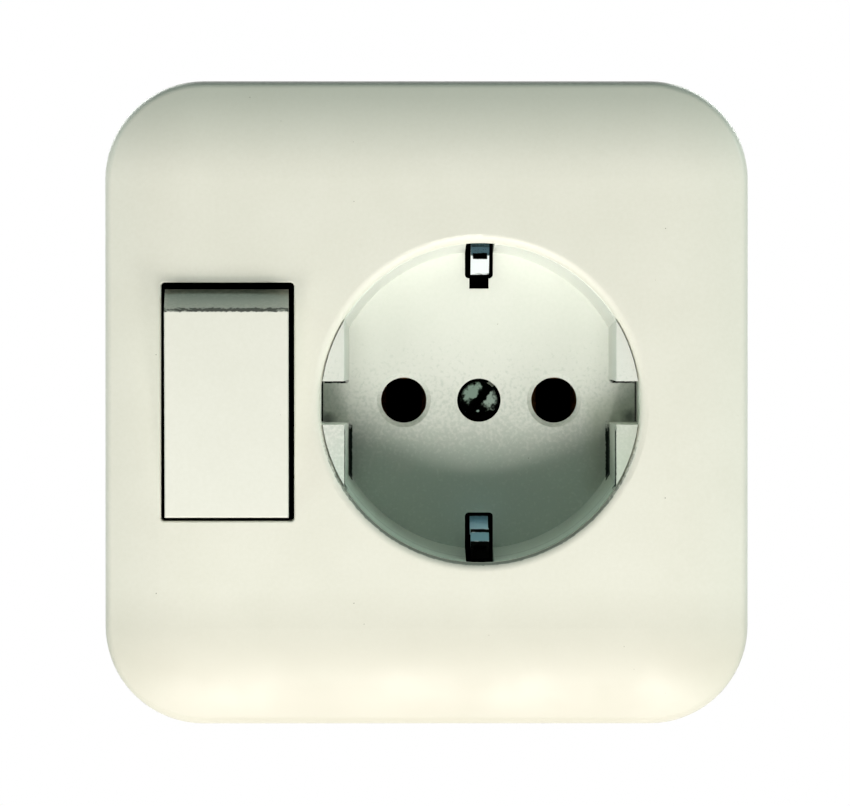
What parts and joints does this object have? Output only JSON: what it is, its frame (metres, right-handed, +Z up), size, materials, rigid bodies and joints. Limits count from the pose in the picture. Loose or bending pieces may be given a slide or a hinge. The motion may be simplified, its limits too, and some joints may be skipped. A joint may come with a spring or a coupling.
{
  "type": "switched socket",
  "caption": "Flush wall outlet with side earth contacts in a round well, beside a narrow rocker switch, under one square cream cover on an insert with spreading claws.",
  "frame": {"origin": "middle of the cover, on the wall plane, half way between the two box screws", "axes": "+X to the right as seen from the room, +Y into the wall, +Z up the wall; the face looks along -Y"},
  "size_m": [0.0804, 0.0448, 0.0804],
  "materials": {
    "cream_cover": "moulded, soft gloss",
    "cream_well": "moulded, soft gloss",
    "cream_rocker": "moulded, soft gloss",
    "carrier_plastic": "moulded",
    "plunger_plastic": "moulded",
    "base_moulding": "pressed thermoset",
    "dark_screw": "blackened by age",
    "zinc_steel": "zinc plated",
    "screw_steel": "zinc plated",
    "claw_steel": "zinc plated",
    "spring_steel": "drawn wire",
    "terminal_steel": "zinc plated",
    "nickel_spring": "nickel plated",
    "brass_strip": "rolled",
    "bronze_spring": "rolled",
    "turned_brass": "machined",
    "silver_contact": "silver"
  },
  "bodies": {
    "insert": {"cover_plate": "cream_cover", "socket_well": "cream_well", "cover_screw": "dark_screw", "rocker_axle": "screw_steel", "fixed_contact": "silver_contact", "contact_strip": "brass_strip", "feed_bracket": "brass_strip", "support_ring": "zinc_steel", "insert_base": "base_moulding", "earth_bracket": "nickel_spring", "threaded_bush": "turned_brass", "line_contact": "bronze_spring", "neutral_contact": "bronze_spring", "line_terminal": "turned_brass", "neutral_terminal": "turned_brass", "earth_terminal": "turned_brass", "feed_terminal": "turned_brass", "switched_terminal": "turned_brass", "terminal_screws": "terminal_steel", "ring_screws": "screw_steel", "claw_screws": "screw_steel"},
    "rocker": {"rocker": "cream_rocker", "rocker_carrier": "carrier_plastic", "plunger_spring": "spring_steel"},
    "plunger": {"plunger": "plunger_plastic"},
    "seesaw": {"contact_seesaw": "brass_strip", "moving_contact": "silver_contact"},
    "claw_upper": {"claw_upper": "claw_steel"},
    "claw_lower": {"claw_lower": "claw_steel"}
  },
  "joints": [
    {"name": "rocker_tilt", "type": "hinge", "parent": "insert", "child": "rocker", "pos_m": [-0.02305, -0.0022, 0.00015], "axis": [1, 0, 0], "range_deg": [-18, 0]},
    {"name": "plunger_slide", "type": "slide", "parent": "rocker", "child": "plunger", "axis": [0, -0.9877, -0.1564], "range_m": [0, 0.001], "stiffness_N_per_m": 400, "springref_m": -0.003, "deforming": ["plunger_spring"]},
    {"name": "seesaw_tilt", "type": "hinge", "parent": "insert", "child": "seesaw", "pos_m": [-0.02305, 0.00862, 0.00015], "axis": [1, 0, 0], "range_deg": [0, 16]},
    {"name": "claw_upper_swing", "type": "hinge", "parent": "insert", "child": "claw_upper", "pos_m": [-0.009, 0.022, 0.025], "axis": [-1, 0, 0], "range_deg": [0, 18]},
    {"name": "claw_lower_swing", "type": "hinge", "parent": "insert", "child": "claw_lower", "pos_m": [-0.009, 0.022, -0.025], "axis": [1, 0, 0], "range_deg": [0, 18]}
  ],
  "couplings": [
    {"joint": "seesaw_tilt", "follows": "rocker_tilt", "ratio": -0.88889}
  ]
}
